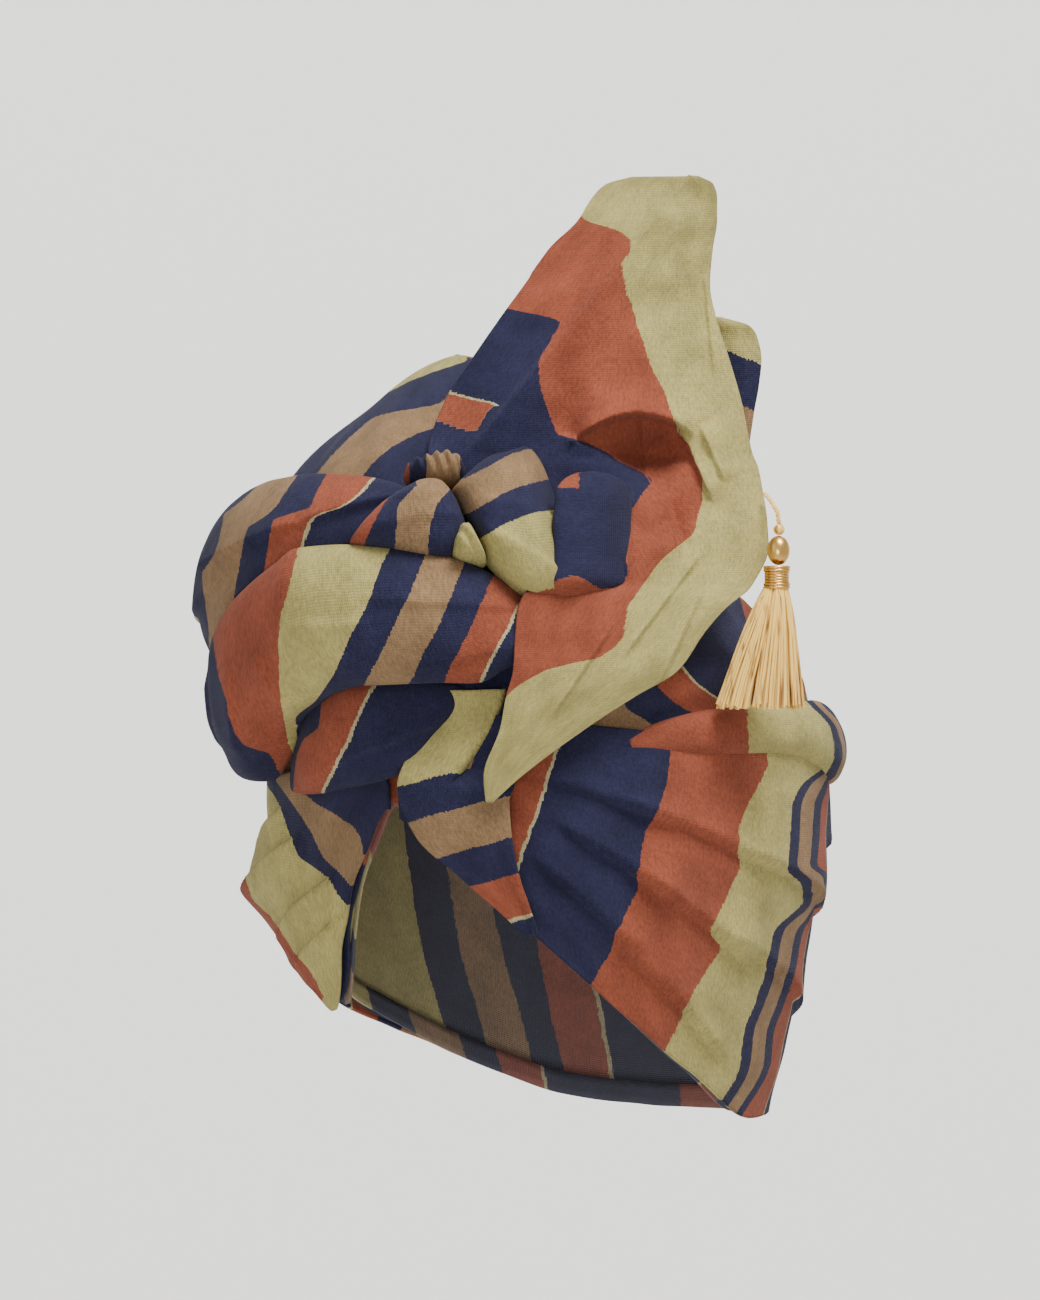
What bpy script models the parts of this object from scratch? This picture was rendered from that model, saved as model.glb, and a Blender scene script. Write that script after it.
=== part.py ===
# Head wrap of striped cloth with a front knot, a gathered fan and a gold tassel.
# World axes: the wearer faces -Y, the wearer's left is +X, and +Z is up.
# The origin is the inside of the crown's highest point, where the head sits.

import math

import bmesh
import bpy
from mathutils import Matrix, Vector

MM = 0.001
GAP = 0.4
ROLL_GAP = 1.0

# Driving sizes of the crown, in millimetres and degrees
CROWN_TOP = 2.2
WIDEST_UP = -142.0
RIM_UP = -270.0
HALF_WIDTH = 93.0
HALF_LENGTH = 109.0
ROUNDNESS = 1.66
RIM_TAPER = 0.2
MIDDLE_LEFT = 5.5
TOP_LEFT = -14.0
TOP_FORWARD = 35.0
CROWN_CLOTH = 2.2
WRAP_CLOTH = 2.0
FAN_CLOTH = 2.0

# The fan, its back fold and the tassel are laid out as seen from this bearing
FAN_BEARING = 22.0

# Height of the crown's edge at each bearing; 0 is the front, 90 the wearer's left
RIM = {
    "bearing": (-180, -174, -159, -143, -133, -121, -107, -98, -88, -78, -70, -62, -53, -38.5,
                -31.5, -19, -14, -9, -6.5, 7, 21, 43.5, 61, 90, 112, 140, 169, 180),
    "up": (-269.5, -269, -266, -258.5, -253, -245, -235.5, -229, -216, -200, -190, -201, -211, -222,
           -230, -184, -171, -158.5, -161, -180, -200, -231, -250, -269, -269.5, -270.5, -270.4, -269.5),
}
LEFT_WRAP_TOP = {
    "bearing": (-6, 0, 8, 16, 30, 45, 60, 85, 103, 115, 130, 150, 168),
    "up": (-153, -142, -131, -125, -117, -112, -105, -93, -88, -96, -112, -135, -160),
}
RIGHT_WRAP_TOP = {
    "bearing": (-150, -120, -80, -60, -42, -25, -12, -8.5),
    "up": (-178, -160, -158.5, -158.5, -158.5, -156, -153.5, -152),
}
ROLL_UPPER = {
    "bearing": (22, 5, -15, -34, -50, -62, -70, -80, -95, -118, -140, -152),
    "top": (-52, -46, -45, -46, -47, -48, -49, -51, -54, -58, -64, -72),
    "bottom": (-66, -63.5, -63.5, -64, -66, -74, -92, -106, -112, -110, -100, -85),
    "swell": (10, 15, 18, 20, 21, 22, 22, 22, 21, 16, 9, 4),
}
ROLL_FRONT = {
    "bearing": (36, 23, 8, -6, -16, -20, -28, -36, -42, -50, -58, -67),
    "top": (-84, -72, -66, -65.5, -65.5, -66, -66.5, -67, -68, -71, -79, -97),
    "bottom": (-112, -114, -114, -114, -117.5, -119, -127, -137, -149.5, -152, -149, -128),
    "swell": (12, 19, 22, 24, 24, 24, 25, 27, 27, 25, 21, 13),
}
ROLL_LOWER = {
    "bearing": (12, 4, -3, -9, -17, -25, -34, -41),
    "top": (-116, -116, -117, -118, -120.5, -127, -138, -150.5),
    "bottom": (-121, -131, -144, -148.5, -151, -153, -154.5, -156),
    "swell": (4, 8, 11, 12, 12, 11, 8, 5),
}
KNOT_CENTRE = {
    "bearing": (23.5, 29, 38, 46, 52),
    "top": (-47, -42, -40, -40, -44),
    "bottom": (-66, -73, -81, -82, -74),
    "swell": (11, 19, 21, 19, 12),
}
KNOT_ROLL = {
    "bearing": (53.5, 58, 64, 70, 76),
    "top": (-50, -43, -42, -42, -45),
    "bottom": (-80, -79, -70, -62, -54),
    "swell": (14, 20, 20, 18, 10),
}
KNOT_TAIL = {
    "up": (-195, -182, -168, -155, -150, -142, -134, -127, -122),
    "first": (16.5, 8.5, -0.5, -4, -4.5, -1, 3.5, 8, 11),
    "last": (20.5, 20, 16.5, 13.5, 13.5, 14.5, 15, 15.5, 16),
}
FAN = {
    "up": (-156, -147, -130, -119, -110, -96, -88, -83, -79, -66, -56, -46, -38, -33, -14,
           0, 16, 27, 40, 50, 58, 63, 65.5),
    "left": (-15.5, -16, -10.5, -8.5, -6, -2, 3, 10, 29, 30, 30, 30, 28, -20, -21,
             -21, -10, -2, 7, 17, 22, 27, 36),
    "right": (-13, -3, 20, 37, 52, 62, 69, 75, 79, 84.5, 84, 82.5, 81, 79, 75,
              71, 66, 64, 65, 66.5, 66.5, 65, 60),
    "front_left": (126, 127, 128, 128, 128, 128, 127, 126, 116, 111, 108, 106, 105, 104, 98,
                   94, 90, 88, 85, 82, 80, 78, 76),
    "front_mid": (126, 126, 125, 124, 121, 117, 113, 109, 103, 98, 94, 90, 88, 86, 84,
                  82, 80, 79, 77, 76, 75, 75, 75),
    "front_right": (126, 125, 119, 113, 106, 101, 97, 93, 89, 84, 80, 77, 75, 73, 71,
                    69, 67, 66, 66, 67, 68, 70, 72),
}
BACK_FOLD = {
    "up": (-30, -17, -9, 1, 9, 13, 16),
    "left": (67, 62, 60, 59, 60, 61, 65),
    "right": (78, 80, 81.5, 82.5, 81, 78, 68),
    "front": (62, 60, 58, 57, 57, 58, 59),
}

# Tassel: places seen from the fan's bearing (right, front, up) and its own sizes
TASSEL_FRONT = 92.0
CORD_ROUTE = ((83.0, 80.9, -47.0), (85.4, 85.0, -50.0), (87.6, 89.5, -54.0), (88.0, 92.0, -57.4))
CORD_RADIUS = 0.9
BEAD_PLACE = (87.8, TASSEL_FRONT, -67.4)
BEAD_WIDTH = 8.0
BEAD_HEIGHT = 10.4
CORD_KNOT_PLACE = (88.0, TASSEL_FRONT, -60.0)
CORD_KNOT_WIDTH = 4.0
COLLAR_TOP = -72.9
COLLAR_HEIGHT = 8.0
COLLAR_RADIUS = 4.3
SKIRT_TOP_RIGHT = 86.8
SKIRT_BOTTOM_RIGHT = 81.5
SKIRT_TOP_UP = -81.3
SKIRT_BOTTOM_UP = -123.5
SKIRT_TOP_RADIUS = 4.4
SKIRT_BOTTOM_RADIUS = 15.5
SKIRT_FLATTEN = 0.55
SKIRT_LOCKS = 12

# Colour, roughness and metallic value of each stripe and of the gold
FINISHES = {
    "sage": ((0.38, 0.37, 0.22), 0.9, 0.0),
    "navy": ((0.022, 0.025, 0.07), 0.9, 0.0),
    "terracotta": ((0.36, 0.105, 0.052), 0.9, 0.0),
    "tan": ((0.48, 0.29, 0.115), 0.9, 0.0),
    "thread": ((0.72, 0.52, 0.22), 0.6, 0.0),
    "metal": ((0.8, 0.55, 0.2), 0.3, 1.0),
}
# The stripe that covers most of each piece
PIECE_FINISH = {
    "crown": "sage",
    "side_wrap_left": "terracotta",
    "side_wrap_right": "sage",
    "roll_upper": "navy",
    "roll_front": "terracotta",
    "roll_lower": "navy",
    "knot_centre": "tan",
    "knot_roll": "navy",
    "knot_tail": "tan",
    "fan": "terracotta",
    "fan_back_fold": "sage",
    "tassel_cord": "thread",
    "tassel_knot": "thread",
    "tassel_bead": "metal",
    "tassel_collar": "metal",
    "tassel_skirt": "thread",
}


def read(table, key, value, column):
    # Smooth curve through a column of a table whose key column may run either way
    keys = table[key]
    items = table[column]
    if keys[0] > keys[-1]:
        keys = keys[::-1]
        items = items[::-1]
    if value <= keys[0]:
        return items[0]
    if value >= keys[-1]:
        return items[-1]
    spot = max(i for i in range(len(keys) - 1) if keys[i] <= value)
    span = keys[spot + 1] - keys[spot]
    rise = (items[spot + 1] - items[spot]) / span
    start = rise
    end = rise
    if spot > 0:
        before = (items[spot] - items[spot - 1]) / (keys[spot] - keys[spot - 1])
        start = 0.0 if before * rise <= 0 else 2 * before * rise / (before + rise)
    if spot < len(keys) - 2:
        after = (items[spot + 2] - items[spot + 1]) / (keys[spot + 2] - keys[spot + 1])
        end = 0.0 if after * rise <= 0 else 2 * after * rise / (after + rise)
    x = (value - keys[spot]) / span
    bend = x * (1 - x) * ((1 - x) * start - x * end) * span
    return mix(items[spot], items[spot + 1], smooth(x)) + bend


def crown_section(up):
    # Centre and half sizes of the crown's oval at a height
    if up > WIDEST_UP:
        climb = min(1.0, (up - WIDEST_UP) / (CROWN_TOP - WIDEST_UP))
        size = (1 - climb ** ROUNDNESS) ** (1 / ROUNDNESS)
        lean = smooth(climb / 0.62)
    else:
        size = 1 - RIM_TAPER * ((WIDEST_UP - up) / (WIDEST_UP - RIM_UP)) ** 1.8
        lean = 0.0
    left = mix(MIDDLE_LEFT, TOP_LEFT, lean)
    return left, TOP_FORWARD * lean, HALF_WIDTH * size, HALF_LENGTH * size


def crown_point(bearing, up):
    left, forward, half_width, half_length = crown_section(up)
    turn = math.radians(bearing)
    return Vector((left + half_width * math.sin(turn), -forward - half_length * math.cos(turn), up))


def over_crown(bearing, up, height):
    # A point that stands clear of the crown's outside by a height
    point = crown_point(bearing, up)
    along = crown_point(bearing + 0.5, up) - crown_point(bearing - 0.5, up)
    upward = point - crown_point(bearing, up - 1.0)
    return from_seat(point + along.cross(upward).normalized() * height)


def from_seat(point):
    # The tables count from the middle of the head opening, the object from its highest point
    return Vector((point.x - TOP_LEFT, point.y + TOP_FORWARD, point.z)) * MM


def from_fan_side(right, front, up):
    turn = math.radians(FAN_BEARING)
    x = right * math.cos(turn) + front * math.sin(turn)
    y = right * math.sin(turn) - front * math.cos(turn)
    return from_seat(Vector((x, y, up)))


def mix(first, last, share):
    return first + (last - first) * share


def smooth(share):
    share = min(1.0, max(0.0, share))
    return share * share * (3 - 2 * share)


def make_material(name):
    finish_name = PIECE_FINISH[name]
    colour, roughness, metallic = FINISHES[finish_name]
    material = bpy.data.materials.new(f"{name}_{finish_name}")
    material.use_nodes = True
    shader = material.node_tree.nodes["Principled BSDF"]
    shader.inputs["Base Color"].default_value = (*colour, 1.0)
    shader.inputs["Roughness"].default_value = roughness
    shader.inputs["Metallic"].default_value = metallic
    material.diffuse_color = (*colour, 1.0)
    return material


def finish(obj, name, collection):
    # Name and paint the object, merge coincident points and face a closed skin outward
    obj.name = name
    obj.data.name = name
    for owner in list(obj.users_collection):
        owner.objects.unlink(obj)
    collection.objects.link(obj)
    obj.data.materials.clear()
    obj.data.materials.append(make_material(name))
    skin = bmesh.new()
    skin.from_mesh(obj.data)
    bmesh.ops.remove_doubles(skin, verts=skin.verts, dist=1e-6)
    if not any(edge.is_boundary for edge in skin.edges):
        bmesh.ops.recalc_face_normals(skin, faces=skin.faces)
    skin.to_mesh(obj.data)
    skin.free()
    obj.data.shade_smooth()
    obj.data.set_sharp_from_angle(angle=math.radians(50))
    return obj


def make_surface(name, collection, columns, rows, place):
    # A grid whose two shares, across and along, are moved to their place in space
    bpy.ops.mesh.primitive_grid_add(x_subdivisions=columns, y_subdivisions=rows, size=2)
    obj = bpy.context.object
    for vertex in obj.data.vertices:
        vertex.co = place((vertex.co.x + 1) / 2, (vertex.co.y + 1) / 2)
    return finish(obj, name, collection)


def thicken(obj, thickness):
    solid = obj.modifiers.new("thickness", "SOLIDIFY")
    solid.thickness = thickness * MM
    solid.offset = -1
    solid.use_even_offset = False
    return obj


def rim_height(bearing):
    return read(RIM, "bearing", (bearing + 180) % 360 - 180, "up")


def make_crown(collection):
    def place(across, along):
        bearing = -180 + 360 * across
        rim = rim_height(bearing) + 1.5
        return from_seat(crown_point(bearing, mix(rim, CROWN_TOP, math.sin(along * math.pi / 2))))

    crown = make_surface("crown", collection, 56, 16, place)
    return thicken(crown, CROWN_CLOTH)


def wrap_height(bearing, up, focus_bearing, focus_up, pleats):
    # Pleats spread from the knot like rays and grow with the distance from it
    across = (bearing - focus_bearing) * 1.7
    down = focus_up - up
    ray = math.atan2(down, across)
    away = min(1.0, math.hypot(across, down) / 70)
    return 1.5 * away * (1 + math.cos(pleats * ray))


def make_side_wraps(collection):
    lift = GAP + WRAP_CLOTH

    def place_left(across, along):
        bearing = mix(-6, 167, across)
        up = mix(rim_height(bearing), read(LEFT_WRAP_TOP, "bearing", bearing, "up"), along)
        side = smooth((bearing - 40) / 45)
        shoulder = 4.5 * smooth((up + 152) / 14) + 5 * math.exp(-((up + 138) / 9) ** 2)
        return over_crown(bearing, up, lift + shoulder * side + wrap_height(bearing, up, 5, -110, 15))

    def place_right(across, along):
        bearing = mix(-148, -8.5, across)
        up = mix(rim_height(bearing), read(RIGHT_WRAP_TOP, "bearing", bearing, "up"), along)
        flare = 9 * math.exp(-((up + 186) / 13) ** 2 - ((bearing + 75) / 28) ** 2)
        return over_crown(bearing, up, lift + flare + wrap_height(bearing, up, -20, -140, 13))

    left = make_surface("side_wrap_left", collection, 40, 10, place_left)
    right = make_surface("side_wrap_right", collection, 32, 7, place_right)
    thicken(left, WRAP_CLOTH)
    thicken(right, WRAP_CLOTH)


def make_roll(name, table, collection, columns, sides):
    # A padded fold that lies on the crown, round in section and closed at both ends
    def place(across, along):
        bearing = mix(table["bearing"][0], table["bearing"][-1], across)
        top = read(table, "bearing", bearing, "top")
        bottom = read(table, "bearing", bearing, "bottom")
        swell = read(table, "bearing", bearing, "swell")
        close = max(0.0, 1 - abs(2 * across - 1) ** 6) ** 0.5
        turn = along * 2 * math.pi
        up = (top + bottom) / 2 + (top - bottom) / 2 * close * math.cos(turn)
        side = 0.65 if math.sin(turn) > 0 else 0.27
        height = ROLL_GAP + swell * (0.35 + side * close * math.sin(turn))
        return over_crown(bearing, up, height)

    return make_surface(name, collection, columns, sides, place)


def make_knot_tail(collection):
    # The flat fold that leaves the knot over the front edge of the left wrap
    def place(across, along):
        up = mix(KNOT_TAIL["up"][0], KNOT_TAIL["up"][-1], along)
        first = read(KNOT_TAIL, "up", up, "first")
        last = read(KNOT_TAIL, "up", up, "last")
        fold = 1.2 * (1 + math.cos(4 * math.pi * across))
        return over_crown(mix(first, last, across), up, 8.4 + fold)

    return thicken(make_surface("knot_tail", collection, 8, 8, place), WRAP_CLOTH)


def fan_point(across, up):
    left = read(FAN, "up", up, "left")
    right = read(FAN, "up", up, "right")
    ends = mix(read(FAN, "up", up, "front_left"), read(FAN, "up", up, "front_right"), across)
    middle = read(FAN, "up", up, "front_mid")
    start = (read(FAN, "up", up, "front_left") + read(FAN, "up", up, "front_right")) / 2
    bow = (middle - start) * 4 * across * (1 - across)
    pleat = 0.03 * (right - left) * math.cos(across * math.pi * 5)
    return from_fan_side(mix(left, right, across), ends + bow + pleat, up)


def make_fan(collection):
    def place(across, along):
        return fan_point(across, mix(FAN["up"][0], FAN["up"][-1], along))

    def place_fold(across, along):
        up = mix(BACK_FOLD["up"][0], BACK_FOLD["up"][-1], along)
        left = read(BACK_FOLD, "up", up, "left")
        right = read(BACK_FOLD, "up", up, "right")
        front = read(BACK_FOLD, "up", up, "front") - 5 * across
        return from_fan_side(mix(left, right, across), front, up)

    thicken(make_surface("fan", collection, 12, 28, place), FAN_CLOTH)
    thicken(make_surface("fan_back_fold", collection, 5, 7, place_fold), FAN_CLOTH)


def make_tassel(collection):
    make_cord(collection)
    make_ball("tassel_knot", CORD_KNOT_PLACE, CORD_KNOT_WIDTH, CORD_KNOT_WIDTH, collection)
    make_ball("tassel_bead", BEAD_PLACE, BEAD_WIDTH, BEAD_HEIGHT, collection)
    make_collar(collection)
    make_skirt(collection)


def make_cord(collection):
    curve = bpy.data.curves.new("tassel_cord", "CURVE")
    curve.dimensions = "3D"
    curve.bevel_depth = CORD_RADIUS * MM
    curve.bevel_resolution = 2
    curve.use_fill_caps = True
    spline = curve.splines.new("POLY")
    spline.points.add(len(CORD_ROUTE) - 1)
    for point, place in zip(spline.points, CORD_ROUTE):
        point.co = (*from_fan_side(*place), 1.0)
    curve.materials.append(make_material("tassel_cord"))
    cord = bpy.data.objects.new("tassel_cord", curve)
    collection.objects.link(cord)


def make_ball(name, place, width, height, collection):
    bpy.ops.mesh.primitive_uv_sphere_add(segments=14, ring_count=8, radius=0.5)
    ball = bpy.context.object
    ball.data.transform(Matrix.Diagonal((width * MM, width * MM, height * MM, 1.0)))
    ball.location = from_fan_side(*place)
    return finish(ball, name, collection)


def make_collar(collection):
    profile = ((0, 0), (0.72, 0), (1, 0.14), (0.86, 0.3), (0.86, 0.7), (1, 0.86), (0.9, 1), (0, 1))
    mesh = bpy.data.meshes.new("tassel_collar")
    outline = bmesh.new()
    points = []
    for share, drop in profile:
        points.append(outline.verts.new((share * COLLAR_RADIUS * MM, 0, -drop * COLLAR_HEIGHT * MM)))
    for first, second in zip(points, points[1:]):
        outline.edges.new((first, second))
    outline.to_mesh(mesh)
    outline.free()
    mesh.materials.append(make_material("tassel_collar"))
    collar = bpy.data.objects.new("tassel_collar", mesh)
    collar.location = from_fan_side(SKIRT_TOP_RIGHT + 0.4, TASSEL_FRONT, COLLAR_TOP)
    collection.objects.link(collar)
    turned = collar.modifiers.new("turned", "SCREW")
    turned.steps = 16
    turned.render_steps = 16
    turned.use_merge_vertices = True
    turned.merge_threshold = 0.00001
    turned.use_smooth_shade = True


def make_skirt(collection):
    # Locks of thread as ridges that flare from the collar and end at uneven lengths
    def place(across, along):
        turn = across * 2 * math.pi
        lock = abs(math.cos(turn * SKIRT_LOCKS / 2))
        drop = min(1.0, max(0.0, (along - 0.12) / 0.76))
        flare = mix(SKIRT_TOP_RADIUS, SKIRT_BOTTOM_RADIUS, drop ** 0.8)
        radius = flare * (0.88 + 0.12 * lock)
        if along < 0.06 or along > 0.94:
            radius = 0.0
        bottom = SKIRT_BOTTOM_UP + 2.0 * (1 - lock) * drop
        up = mix(SKIRT_TOP_UP, bottom, drop)
        right = mix(SKIRT_TOP_RIGHT, SKIRT_BOTTOM_RIGHT, drop)
        flat = mix(1.0, SKIRT_FLATTEN, drop)
        if radius == 0.0:
            up = SKIRT_TOP_UP if along < 0.5 else SKIRT_BOTTOM_UP + 2.0
        front = TASSEL_FRONT + radius * flat * math.sin(turn)
        return from_fan_side(right + radius * math.cos(turn), front, up)

    return make_surface("tassel_skirt", collection, SKIRT_LOCKS * 3, 8, place)


def main():
    for old in list(bpy.data.objects):
        bpy.data.objects.remove(old, do_unlink=True)
    collection = bpy.data.collections.new("turban")
    bpy.context.scene.collection.children.link(collection)

    make_crown(collection)
    make_side_wraps(collection)
    make_roll("roll_upper", ROLL_UPPER, collection, 28, 12)
    make_roll("roll_front", ROLL_FRONT, collection, 24, 14)
    make_roll("roll_lower", ROLL_LOWER, collection, 14, 10)
    make_roll("knot_centre", KNOT_CENTRE, collection, 12, 12)
    make_roll("knot_roll", KNOT_ROLL, collection, 8, 10)
    make_knot_tail(collection)
    make_fan(collection)
    make_tassel(collection)


main()
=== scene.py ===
import math
import random

import bmesh
import bpy
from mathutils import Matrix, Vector, noise


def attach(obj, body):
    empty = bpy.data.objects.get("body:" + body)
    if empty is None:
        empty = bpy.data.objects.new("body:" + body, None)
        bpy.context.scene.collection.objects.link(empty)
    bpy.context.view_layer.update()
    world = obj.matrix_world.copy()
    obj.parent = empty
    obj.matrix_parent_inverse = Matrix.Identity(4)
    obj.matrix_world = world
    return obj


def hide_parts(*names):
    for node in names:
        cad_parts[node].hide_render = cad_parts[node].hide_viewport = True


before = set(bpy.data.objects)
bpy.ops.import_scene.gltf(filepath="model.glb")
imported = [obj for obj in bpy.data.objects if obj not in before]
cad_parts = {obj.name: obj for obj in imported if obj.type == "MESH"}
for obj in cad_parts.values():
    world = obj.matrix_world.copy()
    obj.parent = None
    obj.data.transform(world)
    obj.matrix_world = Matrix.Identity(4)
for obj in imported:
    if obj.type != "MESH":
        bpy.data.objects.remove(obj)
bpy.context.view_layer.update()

mm = 0.001

# The crown that every layer lies on, in millimetres and degrees; the wearer faces -Y
crown = {
    "top": 2.2,
    "widestUp": -142.0,
    "rimUp": -270.0,
    "halfWidth": 93.0,
    "halfLength": 109.0,
    "roundness": 1.66,
    "rimTaper": 0.2,
    "middleLeft": 5.5,
    "topLeft": -14.0,
    "topForward": 35.0,
    "seam": 62.0,
    "sag": 4.5,
}
# The camera faces the fan from this bearing, towards the wearer's left
viewBearing = 22.0
# A degree of bearing is about this far round the crown
perDegree = 1.7
# Share of the full count of grid steps, for quick trials
detail = 1.0
# Cloth in one layer, where it is drawn tight, and inside the crown
thickness = {"plain": 1.4, "tight": 1.2, "inner": 0.8}

# One repeat of the woven stripes, in order across the cloth: colour and width in millimetres
stripes = (
    ("sage", 32.0),
    ("navy", 12.6),
    ("tan", 14.4),
    ("navy", 12.6),
    ("terracotta", 14.8),
    ("line", 1.2),
    ("navy", 47.1),
    ("terracotta", 36.0),
)
repeat = sum(width for colour, width in stripes)

# Where each stripe starts across the cloth, counted from the start of a sage one
stripeNames = ("sage", "navy", "tan", "secondNavy", "terracotta", "line", "wideNavy", "wideTerracotta")
stripeStart = {"wideTerracottaBefore": -stripes[-1][1]}
for index, name in enumerate(stripeNames):
    stripeStart[name] = sum(width for colour, width in stripes[:index])
    stripeStart["next" + name[0].upper() + name[1:]] = stripeStart[name] + repeat

colours = {
    "sage": "#A69B60",
    "navy": "#27273F",
    "tan": "#866B4D",
    "terracotta": "#8B4935",
    "line": "#A89E78",
    "paintedShadeGrey": "#7E7E82",
    "threadDark": "#A56C20",
    "threadLight": "#FFD268",
    "metal": "#E0B265",
    "floor": "#F4F3F1",
}


def mix(first, last, share):
    return first + (last - first) * share


def smooth(share):
    share = min(1.0, max(0.0, share))
    return share * share * (3 - 2 * share)


def bell(value, middle, width):
    return math.exp(-((value - middle) / width) ** 2)


readBefore = {}


def readTable(table, key, value, column):
    # The same places are read for every row of a grid, so what was read is kept
    known = (id(table), value, column)
    if known not in readBefore:
        readBefore[known] = readCurve(table[key], table[column], value)
    return readBefore[known]


def readColumns(table, key, value, *columns):
    return [readTable(table, key, value, column) for column in columns]


def readCurve(keys, items, value):
    # Smooth curve through a column of a table whose key column may run either way
    if keys[0] > keys[-1]:
        keys, items = keys[::-1], items[::-1]
    if value <= keys[0]:
        return items[0]
    if value >= keys[-1]:
        return items[-1]
    spot = max(i for i in range(len(keys) - 1) if keys[i] <= value)
    span = keys[spot + 1] - keys[spot]
    rise = (items[spot + 1] - items[spot]) / span
    start = end = rise
    if spot > 0:
        before = (items[spot] - items[spot - 1]) / (keys[spot] - keys[spot - 1])
        start = 0.0 if before * rise <= 0 else 2 * before * rise / (before + rise)
    if spot < len(keys) - 2:
        after = (items[spot + 2] - items[spot + 1]) / (keys[spot + 2] - keys[spot + 1])
        end = 0.0 if after * rise <= 0 else 2 * after * rise / (after + rise)
    x = (value - keys[spot]) / span
    bend = x * (1 - x) * ((1 - x) * start - x * end) * span
    return mix(items[spot], items[spot + 1], smooth(x)) + bend


def crownSection(up):
    if up > crown["widestUp"]:
        climb = min(1.0, (up - crown["widestUp"]) / (crown["top"] - crown["widestUp"]))
        size = (1 - climb ** crown["roundness"]) ** (1 / crown["roundness"])
        lean = smooth(climb / 0.62)
    else:
        drop = (crown["widestUp"] - up) / (crown["widestUp"] - crown["rimUp"])
        size = 1 - crown["rimTaper"] * drop ** 1.8
        lean = 0.0
    left = mix(crown["middleLeft"], crown["topLeft"], lean)
    return left, crown["topForward"] * lean, crown["halfWidth"] * size, crown["halfLength"] * size


def crownPoint(bearing, up):
    left, forward, halfWidth, halfLength = crownSection(up)
    turn = math.radians(bearing)
    return Vector((left + halfWidth * math.sin(turn), -forward - halfLength * math.cos(turn), up))


def overCrown(bearing, up, height):
    point = crownPoint(bearing, up)
    along = crownPoint(bearing + 0.5, up) - crownPoint(bearing - 0.5, up)
    upward = point - crownPoint(bearing, up - 1.0)
    return fromSeat(point + along.cross(upward).normalized() * height)


def fromSeat(point):
    return Vector((point.x - crown["topLeft"], point.y + crown["topForward"], point.z)) * mm


def fromFanSide(right, front, up):
    turn = math.radians(viewBearing)
    x = right * math.cos(turn) + front * math.sin(turn)
    y = right * math.sin(turn) - front * math.cos(turn)
    return fromSeat(Vector((x, y, up)))


def seenFromFan(point):
    # How far right and up a point lies for someone who faces the fan
    turn = math.radians(viewBearing)
    x = point.x / mm + crown["topLeft"]
    y = point.y / mm - crown["topForward"]
    return x * math.cos(turn) + y * math.sin(turn), point.z / mm


def creaseLift(x, up, fold, drop):
    # One layer that ends over another: a long soft rise to its edge and a sharp drop past it
    startX, startUp, endX, endUp, rise, width = fold
    runX, runUp = endX - startX, endUp - startUp
    length = math.hypot(runX, runUp)
    share = ((x - startX) * runX + (up - startUp) * runUp) / length ** 2
    if share < 0 or share > 1:
        return 0.0
    away = ((x - startX) * runUp - (up - startUp) * runX) / length
    ends = smooth(share / 0.22) * smooth((1 - share) / 0.22)
    if away > 0:
        return rise * ends * math.exp(-away / width)
    return rise * ends * math.exp(-(away / drop) ** 2)


def creases(x, up, folds, drop=1.0):
    return sum(creaseLift(x, up, fold, drop) for fold in folds)


def onBearings(folds):
    # Folds on the crown are listed by bearing
    return [(a * perDegree, b, c * perDegree, d, rise, width) for a, b, c, d, rise, width in folds]


def wrinkle(x, y, size, seed):
    return noise.noise(Vector((x / size, y / size, seed)))


def stripeSeen(table, right, up):
    # The place across the cloth that shows at a spot, from the stripe edges at that height
    marks = [(readTable(table, "up", up, name), stripeStart[name]) for name in table if name != "up"]
    onward = 1 if marks[-1][1] > marks[0][1] else -1
    if right <= marks[0][0]:
        return marks[0][1] - onward * (marks[0][0] - right)
    if right >= marks[-1][0]:
        return marks[-1][1] + onward * (right - marks[-1][0])
    for (first, firstStart), (last, lastStart) in zip(marks, marks[1:]):
        if first <= right <= last:
            return mix(firstStart, lastStart, (right - first) / max(1e-6, last - first))
    return marks[-1][1]


def carryStripes(row, shown, table, rightward):
    # Read the stripes off the table where a row is seen, and carry them on along the cloth
    values = [0.0] * len(row)
    for i in shown:
        values[i] = stripeSeen(table, *seenFromFan(row[i]))
    for i in range(shown[-1] + 1, len(row)):
        values[i] = values[i - 1] + rightward * (row[i] - row[i - 1]).length / mm
    for i in range(shown[0] - 1, -1, -1):
        values[i] = values[i + 1] - rightward * (row[i] - row[i + 1]).length / mm
    return values


def stripeRows(points, bearings, table, reach):
    # The table holds within the reach in degrees each side of the camera's bearing
    shown = [i for i, bearing in enumerate(bearings) if abs(bearing - viewBearing) < reach]
    rightward = 1 if bearings[-1] > bearings[0] else -1
    return [carryStripes(row, shown, table, rightward) for row in points]


def stripesFrom(stripeAt, points):
    return [[stripeAt(*seenFromFan(point)) for point in row] for row in points]


def linear(hexColour):
    channels = [int(hexColour[i:i + 2], 16) / 255 for i in (1, 3, 5)]
    return [c / 12.92 if c <= 0.04045 else ((c + 0.055) / 1.055) ** 2.4 for c in channels] + [1.0]


def addNode(tree, kind, settings, links):
    node = tree.nodes.new("ShaderNode" + kind)
    for name, value in settings.items():
        if isinstance(name, int) or name in node.inputs:
            node.inputs[name].default_value = value
        else:
            setattr(node, name, value)
    for name, source in links.items():
        tree.links.new(source, node.inputs[name])
    return node


def newMaterial(name, settings):
    material = bpy.data.materials.new(name)
    material.use_nodes = True
    shader = material.node_tree.nodes["Principled BSDF"]
    for setting, value in settings.items():
        shader.inputs[setting].default_value = value
    return material, material.node_tree, shader


def perMetre(size):
    # How often a pattern of this size in millimetres comes in a metre
    return 1 / (size * mm)


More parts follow.
